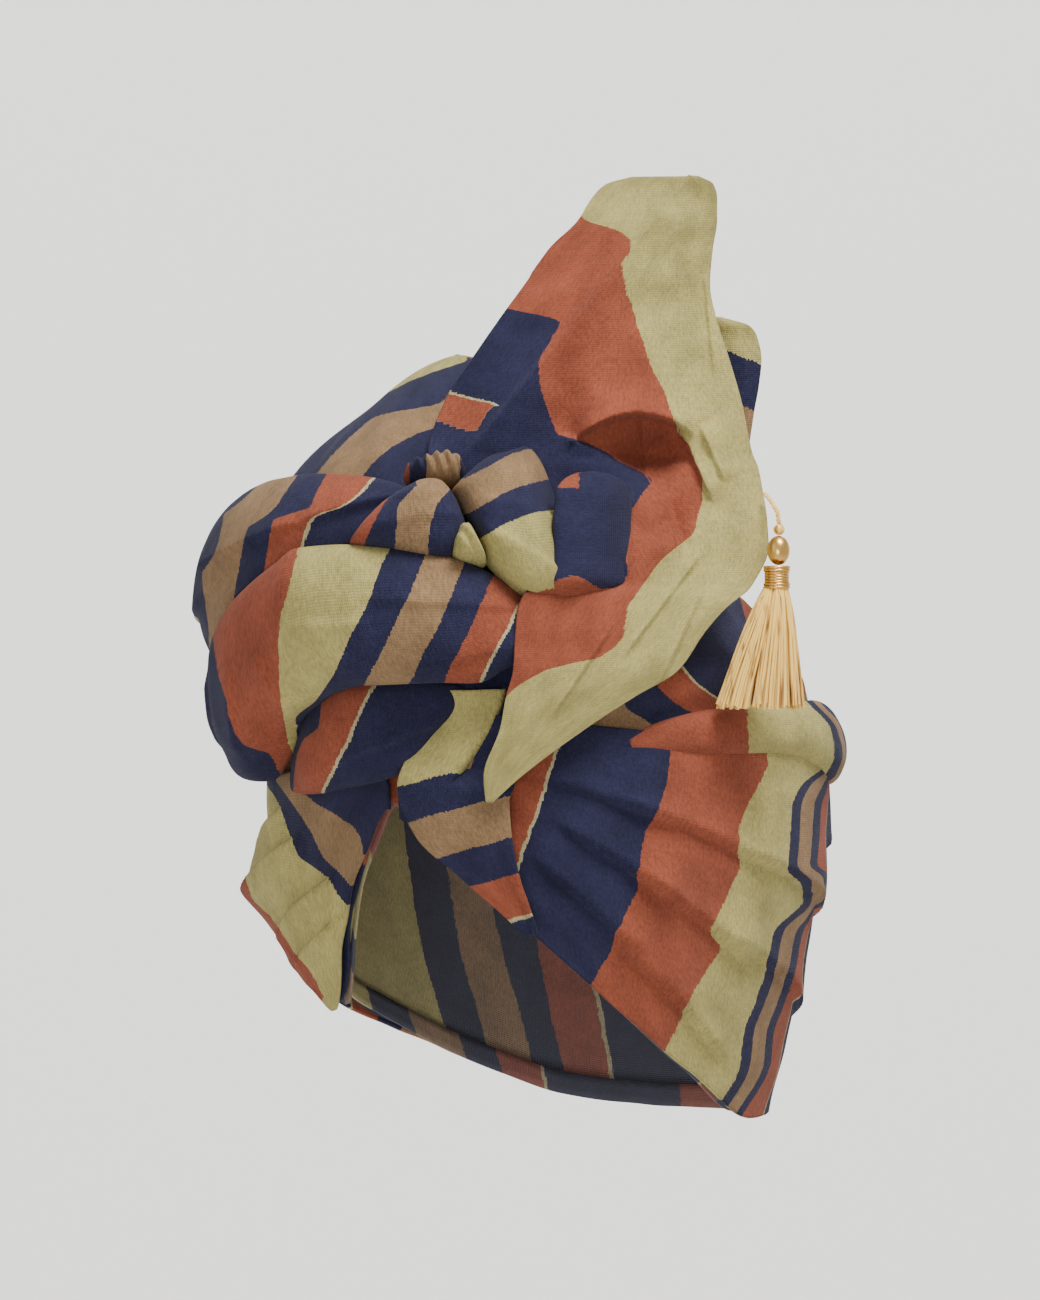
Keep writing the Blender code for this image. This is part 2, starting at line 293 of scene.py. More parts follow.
# Sizes in millimetres, two of them along the stripes and across them. Real threads lie about 0.5 mm
# apart and are drawn coarser, so that they show
cotton = {
    "wander": 14.286,
    "wanderReach": 1.6,
    "ragged": (3.333, 0.7143),
    "raggedReach": 1.7,
    "fleck": (2.0833, 1.1111),
    "patch": 18.182,
    "threadSpacing": 0.7854,
    "crumple": 13.333,
    "crumpleShare": 6.0,
    "bumpHeight": 0.3,
    # Share of painted shade: grey mixed into the copy of the cloth that lines the inside of the crown
    "paintedShadeShare": 0.27,
}
goldYarn = {"strandSpacing": 1.613, "toneLength": 25.0, "roughness": 0.36}
goldPlate = {"wear": 2.857, "smoothest": 0.2, "roughest": 0.42}


def makeStripedCotton(name, shadeMix):
    # Hand-woven cotton, dyed as yarn: matt, with threads that show and ragged stripe edges
    gloss = {"Roughness": 0.93, "Specular IOR Level": 0.12, "Sheen Weight": 0.04, "Sheen Roughness": 0.5}
    material, tree, shader = newMaterial(name, gloss)
    place = addNode(tree, "Attribute", {"attribute_name": "stripe"}, {})
    cloth = addNode(tree, "UVMap", {"uv_map": "cloth"}, {})
    onCloth = {"Vector": cloth.outputs[0]}

    # Stripe edges wander a little and are ragged from thread to thread
    wander = addNode(tree, "TexNoise", {"Scale": perMetre(cotton["wander"]), "Detail": 1.0},
                     onCloth)
    along, across = cotton["ragged"]
    threads = addNode(tree, "Mapping", {"Scale": (perMetre(along), perMetre(across), 1.0)}, onCloth)
    ragged = addNode(tree, "TexNoise", {"Scale": 1.0, "Detail": 1.0},
                     {"Vector": threads.outputs[0]})
    reach = cotton["wanderReach"]
    shift = addNode(tree, "Math", {"operation": "MULTIPLY_ADD", 1: reach, 2: -reach / 2},
                    {0: wander.outputs["Fac"]})
    shiftFine = addNode(tree, "Math", {"operation": "MULTIPLY_ADD", 1: cotton["raggedReach"]},
                        {0: ragged.outputs["Fac"], 2: shift.outputs[0]})
    moved = addNode(tree, "Math", {"operation": "ADD"},
                    {0: place.outputs["Fac"], 1: shiftFine.outputs[0]})
    share = addNode(tree, "Math", {"operation": "DIVIDE", 1: repeat}, {0: moved.outputs[0]})
    inRepeat = addNode(tree, "Math", {"operation": "FRACT"}, {0: share.outputs[0]})
    ramp = addNode(tree, "ValToRGB", {}, {"Fac": inRepeat.outputs[0]})
    ramp.color_ramp.interpolation = "CONSTANT"
    reached = 0.0
    for index, (colour, width) in enumerate(stripes):
        if index < 2:
            stop = ramp.color_ramp.elements[index]
            stop.position = reached / repeat
        else:
            stop = ramp.color_ramp.elements.new(reached / repeat)
        stop.color = linear(colours[colour])
        reached += width

    # Threads spun from mixed fibres: flecks along both directions and soft larger patches
    along, across = cotton["fleck"]
    slubs = addNode(tree, "Mapping", {"Scale": (perMetre(along), perMetre(across), 1.0)}, onCloth)
    fleck = addNode(tree, "TexNoise", {"Scale": 1.0, "Detail": 3.0, "Roughness": 0.65},
                    {"Vector": slubs.outputs[0]})
    patch = addNode(tree, "TexNoise",
                    {"Scale": perMetre(cotton["patch"]), "Detail": 3.0, "Roughness": 0.6}, onCloth)
    middle = {"From Min": 0.3, "From Max": 0.7}
    fleckTone = addNode(tree, "MapRange", {**middle, "To Min": 0.76, "To Max": 1.24},
                        {"Value": fleck.outputs["Fac"]})
    patchTone = addNode(tree, "MapRange", {**middle, "To Min": 0.8, "To Max": 1.18},
                        {"Value": patch.outputs["Fac"]})
    tone = addNode(tree, "Math", {"operation": "MULTIPLY"},
                   {0: fleckTone.outputs[0], 1: patchTone.outputs[0]})
    toned = addNode(tree, "VectorMath", {"operation": "SCALE"},
                    {"Vector": ramp.outputs["Color"], "Scale": tone.outputs[0]})
    # Painted shade: the copy for the inside of the crown is mixed toward grey, for the dull look the
    # cloth has in the shade there
    shadedTone = addNode(tree, "Mix", {"data_type": "RGBA", 0: shadeMix, 7: linear(colours["paintedShadeGrey"])},
                   {6: toned.outputs[0]})
    tree.links.new(shadedTone.outputs[2], shader.inputs["Base Color"])

    # Plain weave; the node draws a band every pi / 10 of its own unit
    bands = {"Scale": math.pi / 10 * perMetre(cotton["threadSpacing"]), "Distortion": 2.5, "Detail": 1.0}
    warp = addNode(tree, "TexWave", {"bands_direction": "X", **bands}, onCloth)
    weft = addNode(tree, "TexWave", {"bands_direction": "Y", **bands}, onCloth)
    weave = addNode(tree, "Math", {"operation": "MULTIPLY"},
                    {0: warp.outputs["Fac"], 1: weft.outputs["Fac"]})
    relief = addNode(tree, "Math", {"operation": "ADD"},
                     {0: weave.outputs[0], 1: fleck.outputs["Fac"]})
    crumple = addNode(tree, "TexNoise",
                      {"Scale": perMetre(cotton["crumple"]), "Detail": 4.0, "Roughness": 0.55}, onCloth)
    uneven = addNode(tree, "Math", {"operation": "MULTIPLY_ADD", 1: cotton["crumpleShare"]},
                     {0: crumple.outputs["Fac"], 2: relief.outputs[0]})
    bump = addNode(tree, "Bump", {"Strength": 0.6, "Distance": cotton["bumpHeight"] * mm},
                   {"Height": uneven.outputs[0]})
    tree.links.new(bump.outputs[0], shader.inputs["Normal"])
    return material


def makeGoldThread():
    # Spun rayon thread in gold: a soft gloss, and each strand keeps its own tone down its length; the
    # wide span from dark to light strands is partly painted shade and painted highlight, for the dark
    # gaps and glints among the strands
    gloss = {"Roughness": goldYarn["roughness"], "Specular IOR Level": 0.6, "Sheen Weight": 0.1}
    material, tree, shader = newMaterial("goldThread", gloss)
    where = addNode(tree, "TexCoord", {}, {})
    close, long = perMetre(goldYarn["strandSpacing"]), perMetre(goldYarn["toneLength"])
    drawn = addNode(tree, "Mapping", {"Scale": (close, close, long)},
                    {"Vector": where.outputs["Object"]})
    fibre = addNode(tree, "TexNoise", {"Scale": 1.0, "Detail": 2.0}, {"Vector": drawn.outputs[0]})
    tone = addNode(tree, "ValToRGB", {}, {"Fac": fibre.outputs["Fac"]})
    for index, (position, colour) in enumerate(((0.3, "threadDark"), (0.5, "threadLight"))):
        tone.color_ramp.elements[index].position = position
        tone.color_ramp.elements[index].color = linear(colours[colour])
    tree.links.new(tone.outputs["Color"], shader.inputs["Base Color"])
    return material


def makeGoldMetal():
    # Gold-plated brass, polished: sharp highlights, a little dulled where it was handled
    plating = {"Base Color": linear(colours["metal"]), "Metallic": 1.0}
    material, tree, shader = newMaterial("goldMetal", plating)
    where = addNode(tree, "TexCoord", {}, {})
    wear = addNode(tree, "TexNoise", {"Scale": perMetre(goldPlate["wear"]), "Detail": 3.0},
                   {"Vector": where.outputs["Object"]})
    rough = addNode(tree, "MapRange",
                    {"To Min": goldPlate["smoothest"], "To Max": goldPlate["roughest"]},
                    {"Value": wear.outputs["Fac"]})
    tree.links.new(rough.outputs[0], shader.inputs["Roughness"])
    return material


stripedCotton = makeStripedCotton("stripedCotton", 0.0)
# A copy of the cloth greyed with painted shade, for the inside of the crown
stripedCottonShadedInside = makeStripedCotton("stripedCottonShadedInside", cotton["paintedShadeShare"])
goldThread = makeGoldThread()
goldMetal = makeGoldMetal()


def fine(count):
    return round(count * detail)


def spread(first, last, count):
    return [mix(first, last, i / count) for i in range(count + 1)]


def gridPoints(columns, rows, place):
    return [[place(c / columns, r / rows) for c in range(columns + 1)] for r in range(rows + 1)]


def addObject(name, data):
    piece = bpy.data.objects.new(name, data)
    bpy.context.scene.collection.objects.link(piece)
    return piece


def addMesh(name, shape, material):
    mesh = bpy.data.meshes.new(name)
    shape.to_mesh(mesh)
    shape.free()
    mesh.shade_smooth()
    mesh.materials.append(material)
    return addObject(name, mesh)


def makeCloth(name, points, stripeValues, nodes, wall, material=None):
    # A fine grid moved to its points, with the stripe place and a cloth map in metres
    rows, columns = len(points) - 1, len(points[0]) - 1
    middle = points[rows // 2]
    width = sum((b - a).length for a, b in zip(middle, middle[1:]))
    centre = [row[columns // 2] for row in points]
    length = sum((b - a).length for a, b in zip(centre, centre[1:]))
    skin = bmesh.new()
    bmesh.ops.create_grid(skin, x_segments=columns, y_segments=rows, size=1)
    stripe = skin.verts.layers.float.new("stripe")
    cloth = skin.loops.layers.uv.new("cloth")
    for face in skin.faces:
        for loop in face.loops:
            across, along = (loop.vert.co.x + 1) / 2, (loop.vert.co.y + 1) / 2
            loop[cloth].uv = (along * length, across * width)
    for vert in skin.verts:
        column = round((vert.co.x + 1) / 2 * columns)
        row = round((vert.co.y + 1) / 2 * rows)
        vert[stripe] = stripeValues[row][column]
        vert.co = points[row][column]
    bmesh.ops.recalc_face_normals(skin, faces=skin.faces)
    piece = addMesh(name, skin, material or stripedCotton)
    if wall:
        solid = piece.modifiers.new("thickness", "SOLIDIFY")
        solid.thickness = wall * mm
        solid.offset = -1
    dress(piece, nodes)
    return piece


def dress(piece, nodes):
    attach(piece, "root")
    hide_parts(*nodes)


def layCloth(name, place, span, steps, table, reach, nodes, wall, highest=math.inf):
    # A sheet over the crown between two bearings
    columns, rows = fine(steps[0]), fine(steps[1])
    points = gridPoints(columns, rows, place)
    values = stripeRows(points, spread(*span, columns), table, reach)
    values = [[min(value, highest) for value in row] for row in values]
    return makeCloth(name, points, values, nodes, wall)


# Crown: the hollow cap under everything, and its inner layer that shows through the front notch
rim = {
    "bearing": (-180, -174, -159, -143, -133, -121, -107, -98, -88, -78, -70, -62, -53, -38.5,
                -31.5, -19, -14, -9, -6.5, 7, 21, 43.5, 61, 90, 112, 140, 169, 180),
    "up": (-269.5, -269, -266, -258.5, -253, -245, -235.5, -229, -216, -200, -190, -201, -211, -222,
           -230, -184, -171, -158.5, -161, -180, -200, -231, -250, -269, -269.5, -270.5, -270.4, -269.5),
}
crownStripes = {
    "up": (-0.5, -7, -12.5, -16, -20, -27, -34, -40.5, -56, -70, -92),
    "navy": (-22, -39.5, -51, -57, -63.5, -75.5, -85, -93, -110.5, -116.5, -119),
    "tan": (-11, -20, -27, -30, -52.5, -61.5, -68, -74, -86.5, -93.5, -99),
    "secondNavy": (-3.5, -6.5, -9, -11, -18.5, -39, -51.5, -57, -66.5, -72, -75.5),
    "terracotta": (3.5, 2, 1, 0, -6.5, -19.5, -32.5, -39.5, -48.5, -54, -57.5),
}
innerStripes = {
    "up": (-170.5, -193.5, -214.5, -236, -252.5, -264.5),
    "navy": (-45, -41.5, -37.5, -31.5, -25, -21.5),
    "tan": (-32.5, -27.5, -24, -18, -14, -11),
    "secondNavy": (-16.5, -13.5, -9, -3, 1, 3),
    "terracotta": (-2, 0.5, 4, 8, 12, 14.5),
    "line": (16, 18.5, 21.5, 26, 29, 31),
}


def rimHeight(bearing):
    return readTable(rim, "bearing", (bearing + 180) % 360 - 180, "up")


inner = {
    "topUp": -60.0,
    "inset": 1.8,
    "hemWidth": 8.0,
    "hemRows": 3,
    "hemLift": 0.7,
    "hemShift": 24.0,
}


def makeCrown():
    span = (crown["seam"] - 360, crown["seam"])

    def place(across, along):
        bearing = mix(*span, across)
        up = mix(rimHeight(bearing) + 2.6, crown["top"], math.sin(along * math.pi / 2))
        slant = bearing + 0.5 * up
        low = smooth((-4 - up) / 30)
        ripple = low * (0.8 * math.sin(math.radians(slant) * 14) + 1.0 * wrinkle(slant, up, 22, 3.0))
        sag = crown["sag"] * bell(up, -15, 16) * bell(bearing, viewBearing - 90, 42)
        return overCrown(bearing, up, ripple - sag - 0.3)

    piece = layCloth("crownCloth", place, span, (320, 90), crownStripes, 72, ["crown"],
                     thickness["tight"])
    return piece


def makeInner():
    rows, hemRows = fine(60), inner["hemRows"]

    def place(across, along):
        # The cloth is turned up at the rim, so the hem stands a little proud
        bearing = mix(viewBearing, viewBearing + 360, across)
        row = round(along * rows)
        rimUp = rimHeight(bearing) + 0.8
        if row <= hemRows:
            up, lift = rimUp + inner["hemWidth"] * row / hemRows, inner["hemLift"]
        else:
            share = (row - hemRows - 1) / (rows - hemRows - 1)
            up, lift = mix(rimUp + inner["hemWidth"] + 0.1, inner["topUp"], share), 0.0
        soft = 0.5 * wrinkle(bearing * perDegree, up, 25, 8.0)
        return overCrown(bearing, up, -inner["inset"] - lift + soft)

    points = gridPoints(fine(240), rows, place)
    middle = len(points[0]) // 2
    reach = len(points[0]) // 6
    shown = range(middle - reach, middle + reach + 1)
    values = [carryStripes(row, shown, innerStripes, -1) for row in points]
    for row in range(hemRows + 1):
        values[row] = [value + inner["hemShift"] for value in values[row]]
    # The inside layer takes the copy of the cloth greyed with painted shade
    piece = makeCloth("innerCloth", points, values, ["crown"], thickness["inner"], stripedCottonShadedInside)


crownCloth = makeCrown()
makeInner()
print("crown")


# Side wraps: pleated layers from the knot round both sides, with a rolled shoulder on the left
def hemHeight(bearing):
    # The wraps end a little above the inner layer round the back
    return rimHeight(bearing) + 3.5 * smooth((abs(bearing) - 95) / 35)


leftWrap = {
    "span": (-6, 167),
    "bearing": (-6, 0, 8, 16, 30, 45, 60, 85, 103, 115, 130, 150, 168),
    "top": (-153, -142, -131, -125, -128, -131, -134, -134, -134, -134, -138, -146, -160),
    # start bearing, start height, end bearing, end height, rise, softness
    "folds": onBearings((
        (54, -163, 22, -144, 2.4, 11), (82, -180, 36, -151, 3.4, 13), (132, -200, 60, -169, 3.2, 15),
        (56, -191, 26, -160, 3.0, 11), (78, -214, 40, -175, 3.6, 13), (126, -236, 60, -198, 3.0, 15),
        (48, -210, 22, -172, 2.6, 12), (76, -251, 36, -197, 3.0, 14), (166, -182, 110, -168, 2.6, 18),
    )),
    "fallBack": 16.0,
}
leftStripes = {
    "up": (-106, -121.5, -131.5, -137, -142, -151, -158.5, -167.5, -174.5, -179, -185.5, -192,
           -202.5, -207.5, -216.5, -228.5, -239.5, -250, -269.5),
    "line": (18, 14, 11.5, 9.5, 8, 5, 2.5, -0.5, -3, -4.5, -6, -8, -10.5, -11, -11.5, -12, -13,
             -13.5, -14.5),
    "wideTerracotta": (42.5, 42, 46.5, 49.5, 48.5, 47, 45, 40, 39, 38.5, 37.5, 35, 30.5, 28.5,
                       23.5, 16, 11.5, 7, 0),
    "nextSage": (75, 75.5, 77, 83.5, 84, 80.5, 76.5, 74, 74.5, 74.5, 71.5, 68.5, 64.5, 67.5, 62,
                 55.5, 50.5, 45, 38),
    "nextNavy": (101.5, 104.5, 107, 109, 108, 96, 92.5, 92, 91.5, 91, 97, 97, 86.5, 85, 83.5, 79.5,
                 75.5, 74.5, 63.5),
}
for column, step in (("nextTan", 3.2), ("nextSecondNavy", 8.0), ("nextTerracotta", 10.6)):
    leftStripes[column] = tuple(right + step for right in leftStripes["nextNavy"])
shoulder = {
    "span": (40, 167),
    "bearing": (40, 46, 53, 62, 76, 90, 98, 104, 110, 125, 145, 168),
    "top": (-136, -132, -128.5, -126, -125, -125, -124.5, -124.5, -125, -128, -134, -143),
    "bottom": (-138, -138, -138.5, -139, -139, -141, -144, -147, -149, -151, -156, -162),
    "swell": (1, 2.5, 4.5, 6.5, 9, 10.5, 10.5, 10.5, 10.5, 9.5, 7, 5),
}
shoulderStripes = {
    "up": (-115, -121.5, -131, -139.5, -145.5, -150),
    "wideTerracotta": (34, 34, 34.5, 36, 36, 36),
    "nextSage": (78, 78, 77.5, 78, 78, 78),
    "nextNavy": (97, 99, 107, 109, 107, 104),
}
for column, step in (("nextTan", 2.0), ("nextSecondNavy", 4.2)):
    shoulderStripes[column] = tuple(right + step for right in shoulderStripes["nextNavy"])
upperPleat = {
    "span": (28, 165),
    "bearing": (28, 36, 45, 60, 75, 88, 98, 106, 112, 125, 145, 165),
    "top": (-112, -108, -105, -99, -93, -89, -87.5, -89, -95, -108, -122, -140),
    "bottom": (-134, -134, -134, -132, -130, -130, -130, -130, -131, -134, -140, -150),
}
upperStripes = {
    "up": (-90, -106, -113.5, -120.5, -127, -133),
    "tan": (2, 2, 5, 14, 22, 20),
    "secondNavy": (21, 28.5, 32, 33, 40, 48),
    "terracotta": (32.5, 40, 43, 51, 60, 68),
    "line": (46, 51, 57, 67, 75, 82),
}


def makeLeftWrap():
    def place(across, along):
        # The end at the back leans, as a free edge does
        bearing = mix(*leftWrap["span"], across)
        bearing += leftWrap["fallBack"] * (along - 0.5) * smooth((across - 0.7) / 0.3)
        x = bearing * perDegree
        up = mix(hemHeight(bearing), readTable(leftWrap, "bearing", bearing, "top"), along)
        fold = creases(x, up, leftWrap["folds"], 1.8) * smooth((up - rimHeight(bearing)) / 10)
        side = smooth((bearing - 40) / 45)
        lift = 3.2 * side * smooth((up + 215) / 40) + 0.8 * wrinkle(bearing * 1.2, up, 16, 1.0)
        return overCrown(bearing, up, 3.0 + fold + lift)

    piece = layCloth("sideWrapLeftCloth", place, leftWrap["span"], (250, 120), leftStripes, 76,
                     ["side_wrap_left"], thickness["plain"], 2 * repeat - 3)

    def placeShoulder(across, along):
        bearing = mix(*shoulder["span"], across)
        top, bottom, swell = readColumns(shoulder, "bearing", bearing, "top", "bottom", "swell")
        turn = mix(-0.15, 1.15, along) * math.pi
        up = mix(bottom, top, 0.5) - (top - bottom) / 2 * math.cos(turn)
        body = swell * (0.35 + 0.65 * math.sin(turn))
        return overCrown(bearing, up, 2.5 + body + 0.5 * wrinkle(bearing * perDegree, up * 2, 14, 5.0))

    roll = layCloth("shoulderRoll", placeShoulder, shoulder["span"], (200, 40), shoulderStripes, 80,
                    ["side_wrap_left"], thickness["tight"])

    def placeUpper(across, along):
        bearing = mix(*upperPleat["span"], across)
        up = mix(*readColumns(upperPleat, "bearing", bearing, "bottom", "top"), along)
        tuck = 3.6 * smooth((0.45 - along) / 0.25) - 1.5 * smooth((along - 0.8) / 0.2)
        lift = 1.5 * math.sin(along * 9 + bearing * 0.04)
        lift += 0.8 * wrinkle(bearing * perDegree, up, 15, 2.0)
        return overCrown(bearing, up, 5.5 - tuck + lift * smooth(along / 0.5))

    pleat = layCloth("upperPleat", placeUpper, upperPleat["span"], (200, 50), upperStripes, 68,
                     ["side_wrap_left"], thickness["tight"])


rightWrap = {
    "span": (-148, -8.5),
    "bearing": (-150, -120, -80, -60, -42, -25, -12, -8.5),
    "top": (-178, -160, -150, -148, -146, -142, -140, -150),
    "folds": onBearings((
        (-74, -192, -34, -168, 4.2, 12), (-56, -208, -22, -182, 3.8, 10), (-86, -180, -40, -158, 3.2, 10),
        (-46, -216, -22, -198, 3.0, 8), (-140, -205, -88, -190, 2.4, 14),
    )),
    "flare": 9.0,
    "fallBack": 14.0,
}
rightStripes = {
    "up": (-149.5, -156.5, -167.5, -175.5, -182.5, -190, -198, -205, -211, -215, -225),
    "sage": (-112, -108, -104, -102, -100, -98, -90, -85, -81, -77, -72),
    "navy": (-93.5, -88.5, -84, -80.5, -70.5, -65.5, -56, -50, -44, -40, -32),
    "tan": (-89, -83.5, -76, -72, -65.5, -58, -48, -42, -36, -32, -24),
    "secondNavy": (-84, -75, -59, -57, -50, -42, -34, -27, -21, -17, -9),
    "terracotta": (-46.5, -42, -36.5, -34, -28, -21.5, -15, -9.5, -5, -1, 7),
}


def makeRightWrap():
    def place(across, along):
        bearing = mix(*rightWrap["span"], across)
        bearing -= rightWrap["fallBack"] * (along - 0.5) * smooth((0.25 - across) / 0.25)
        x = bearing * perDegree
        up = mix(hemHeight(bearing), readTable(rightWrap, "bearing", bearing, "top"), along)
        fold = creases(x, up, rightWrap["folds"], 1.3)
        flare = rightWrap["flare"] * bell(up, -186, 13) * bell(bearing, -75, 28)
        return overCrown(bearing, up, 2.8 + flare + fold + 0.7 * wrinkle(x, up, 15, 4.0))

    piece = layCloth("sideWrapRightCloth", place, rightWrap["span"], (200, 80), rightStripes, 90,
                     ["side_wrap_right"], thickness["plain"])


makeLeftWrap()
makeRightWrap()
print("side wraps")


# Rolls: three folds of cloth beside the knot. Each has its ridges, how sharply they drop, how far its
# front is pressed in, its soft unevenness as height, size and seed, and how squarely its ends close
rollUpper = {
    "bearing": (22, 5, -15, -34, -50, -62, -70, -80, -95, -118, -140, -152),
    "top": (-50, -46.5, -46, -48, -53, -60, -65, -70, -74, -77, -79, -81),
    "bottom": (-70, -69, -74, -86, -97, -104, -108, -112, -113, -110, -100, -86),
    "swell": (10, 14, 16, 17, 18, 19.5, 20.5, 21, 21, 16, 9, 4),
    "folds": onBearings(((16, -53, -16, -63, 5.5, 8), (-10, -61, -58, -76, 5.5, 9),
                         (-36, -74, -95, -98, 3.0, 9))),
    "drop": 1.2,
    "pressed": 1.5,
    "soft": ((0.9, 14, 6.0),),
    "closing": 6,
    "steps": (260, 170),
}
rollUpperStripes = {
    "up": (-40.5, -48.5, -52.5, -54.5, -57, -59.5, -65, -70, -76.5, -84.5, -92),
    "tan": (-92, -100.5, -105.5, -108, -108.5, -109, -110, -112, -116, -115, -114),
    "secondNavy": (-81.5, -87, -89.5, -92, -95.5, -99.5, -101, -102, -103, -104.5, -105),
    "terracotta": (-71.5, -75.5, -77.5, -84, -90.5, -91, -92, -93, -94, -95.5, -96.5),
    "line": (-54, -61, -67.5, -74, -77.5, -78.5, -80, -80.5, -81, -82, -83),
}
rollFront = {
    "bearing": (42, 36, 30, 23, 16, 8, -6, -16, -20, -28, -36, -42, -50, -58, -67),
    "top": (-90, -84, -77, -72.5, -70.5, -69, -68, -68.5, -71, -76, -81.5, -86, -92, -98, -104),
    "bottom": (-104, -106, -107, -109, -113, -112, -111.5, -115, -118, -125, -143, -149.5, -150,
               -147, -130),
    "swell": (2, 8, 14, 19, 21, 22, 24, 24, 24, 25, 27, 27, 25, 21, 13),
    "folds": onBearings((
        (-33, -98, -40, -144, 3.4, 8), (-46, -100, -54, -140, 2.8, 9), (-18, -89, 4, -90, 2.0, 7),
        (-3, -98, -14, -112, 3.0, 6), (28, -100, -12, -108, 2.2, 9), (34, -90, 0, -82, 2.4, 7),
        (-26, -94, -22, -124, 2.4, 8),
    )),
    "drop": 1.8,
    "soft": ((1.3, 26, 7.0), (0.5, 9, 9.0)),
    "closing": 6,
    "steps": (220, 190),
}
rollFrontStripes = {
    "up": (-65, -70, -77.5, -84.5, -90, -94.5, -102.5, -112, -120.5, -127.5, -136, -139.5, -153),
    "wideTerracottaBefore": (-118, -118, -118, -117, -114, -112.5, -111.5, -110, -107.5, -106,
                             -101.5, -92, -86.5),
    "sage": (-80, -81.5, -83.5, -85.5, -87, -87.5, -88, -88, -87.5, -86.5, -85, -84, -83),
    "navy": (-47.5, -50, -53, -55.5, -58, -60.5, -64.5, -69, -75.5, -83, -82.5, -82.5, -81.5),
    "tan": (-35, -36.5, -39, -42, -45, -47, -51, -56, -61, -62.5, -64.5, -65.5, -68.5),
    "secondNavy": (-20, -22, -24.5, -27.5, -30, -32, -36, -40.5, -45, -47, -49.5, -50, -54),
    "terracotta": (-6.5, -9.5, -13, -16, -18.5, -20.5, -24.5, -29, -32.5, -35.5, -39.5, -40.5, -47),
    "line": (5.5, 3, 0.5, -2.5, -5.5, -7.5, -12, -16.5, -21.5, -24.5, -28.5, -30, -36),
}
rollLower = {
    "bearing": (12, 4, -3, -9, -17, -25, -34, -41),
    "top": (-112, -112, -112, -112, -114, -120, -132, -148),
    "bottom": (-121, -131, -144, -148.5, -151, -153, -154.5, -156),
    "swell": (4, 8, 11, 12, 12, 11, 8, 5),
    "folds": onBearings(((12, -122, -34, -154, 4.5, 9),)),
    "drop": 1.2,
    "pressed": 1.0,
    "soft": ((0.5, 9, 3.0),),
    "closing": 6,
    "steps": (130, 110),
}
rollLowerStripes = {
    "up": (-113.5, -121, -129.5, -134.5, -142, -153),
    "secondNavy": (-77.5, -79, -84, -86.5, -88.5, -90),
    "terracotta": (-72, -73.5, -74.5, -80, -83, -84),
    "line": (-54, -58.5, -62, -64, -68, -73.5),
}


def foldSide(turn):
    # A pressed fold: nearly flat in front, with tight edges above and below
    out = math.sin(turn)
    return 0.65 * out ** 0.62 if out > 0 else 0.35 * out


def ripple(roll, x, up):
    lift = creases(x, up, roll["folds"], roll["drop"]) - roll.get("pressed", 0.0)
    if "gathers" in roll:
        lift += roll["gathers"] * math.sin((x + up * 0.6) * 1.3)
    return lift + sum(height * wrinkle(x, up, size, seed) for height, size, seed in roll["soft"])


def makeRoll(name, roll, stripeTable, nodes, stripeAt=None):
    first, last = roll["bearing"][0], roll["bearing"][-1]
    columns, sides = fine(roll["steps"][0]), fine(roll["steps"][1])

    def place(across, along):
        bearing = mix(first, last, across)
        top, bottom, swell = readColumns(roll, "bearing", bearing, "top", "bottom", "swell")
        close = max(0.0, 1 - abs(2 * across - 1) ** roll["closing"]) ** 0.5
        turn = along * 2 * math.pi
        up = (top + bottom) / 2 + (top - bottom) / 2 * close * math.cos(turn)
        out = foldSide(turn)
        relief = ripple(roll, bearing * perDegree, up) * close * max(0.0, out)
        return overCrown(bearing, up, 1.0 + swell * (0.35 + out * close) + relief)

    points = gridPoints(columns, sides, place)
    if stripeAt:
        values = stripesFrom(stripeAt, points)
    else:
        values = stripeRows(points, spread(first, last, columns), stripeTable, 88)
    piece = makeCloth(name, points, values, nodes, 0)


makeRoll("rollUpperCloth", rollUpper, rollUpperStripes, ["roll_upper"])
makeRoll("rollFrontCloth", rollFront, rollFrontStripes, ["roll_front"])
makeRoll("rollLowerCloth", rollLower, rollLowerStripes, ["roll_lower"])
print("rolls")


# Knot: the folds pulled tight in the middle, the roll at the fan's foot and the flat tail
knotCentre = {
    "bearing": (22.5, 24, 26, 29, 33, 38, 43, 48, 54),
    "top": (-52, -51.5, -49, -46, -43.5, -41.5, -38.5, -34.5, -31),
    "bottom": (-55, -56, -61, -77, -85, -87, -87, -85, -80),
    "swell": (16, 20, 22, 24, 25, 24, 20, 15, 10),
    "folds": onBearings(((24, -60, 50, -66, 3.2, 7), (24, -64, 44, -84, 3.0, 7),
                         (24, -57, 48, -48, 3.0, 6))),
    "drop": 1.3,
    "soft": ((0.8, 8, 2.0),),
    "closing": 4,
    "steps": (110, 90),
}
knotTail = {
    "up": (-201, -190, -182, -168, -155, -150, -142, -134, -127, -116),
    "first": (20.5, 13.5, 8.5, -0.5, -4, -4.5, -3, 0, 3, 6),
    "last": (23.5, 21.5, 20, 18.5, 18, 19, 20, 21, 22, 24),
}
leftFold = {
    "bearing": (-3, 0, 4, 8, 12, 16, 20, 24, 27),
    "top": (-66.4, -65, -61, -57.7, -55, -52.3, -51.4, -54.5, -64),
    "bottom": (-69.4, -69.5, -70, -70.5, -71.6, -72.8, -73.5, -71.5, -68),
    "swell": (17, 20, 22, 24, 25, 25, 24, 22, 16),
    "folds": onBearings(((26, -63, 4, -66, 2.6, 6), (26, -58, 8, -59, 2.2, 5))),
    "drop": 1.5,
    "soft": ((1.0, 9, 1.5),),
    "closing": 4,
    "steps": (120, 80),
}
leftFoldStripes = {
    "up": (-45, -52.5, -65),
    "terracotta": (-47, -52, -58.5),
    "secondNavy": (-40.5, -46.5, -48),
    "tan": (-27.5, -34, -36.5),
}
